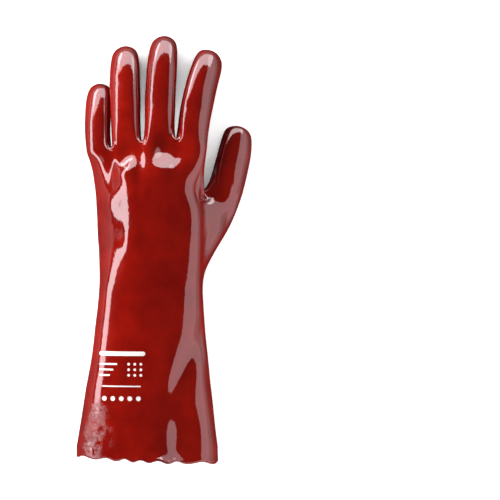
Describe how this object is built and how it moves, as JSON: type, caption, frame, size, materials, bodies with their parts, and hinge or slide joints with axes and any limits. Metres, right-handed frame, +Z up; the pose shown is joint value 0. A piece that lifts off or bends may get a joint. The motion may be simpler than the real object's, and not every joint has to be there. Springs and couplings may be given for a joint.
{
  "type": "pvc coated work glove",
  "caption": "Long left-hand work glove: knitted liner dipped in glossy red PVC, with an open flared gauntlet for the forearm.",
  "frame": {"origin": "on the surface that the glove lies on, under the middle of its box", "axes": "+Y from the mouth to the fingertips, +X to the thumb side, +Z up out of the back of the hand"},
  "size_m": [0.1438, 0.353, 0.0622],
  "materials": {
    "red_pvc": "wet-looking high gloss over a smooth dipped skin",
    "cotton_knit": "undyed interlock knit, matt"
  },
  "bodies": {
    "root": {"pvc_coating": "red_pvc", "knit_lining": "cotton_knit"}
  },
  "joints": []
}
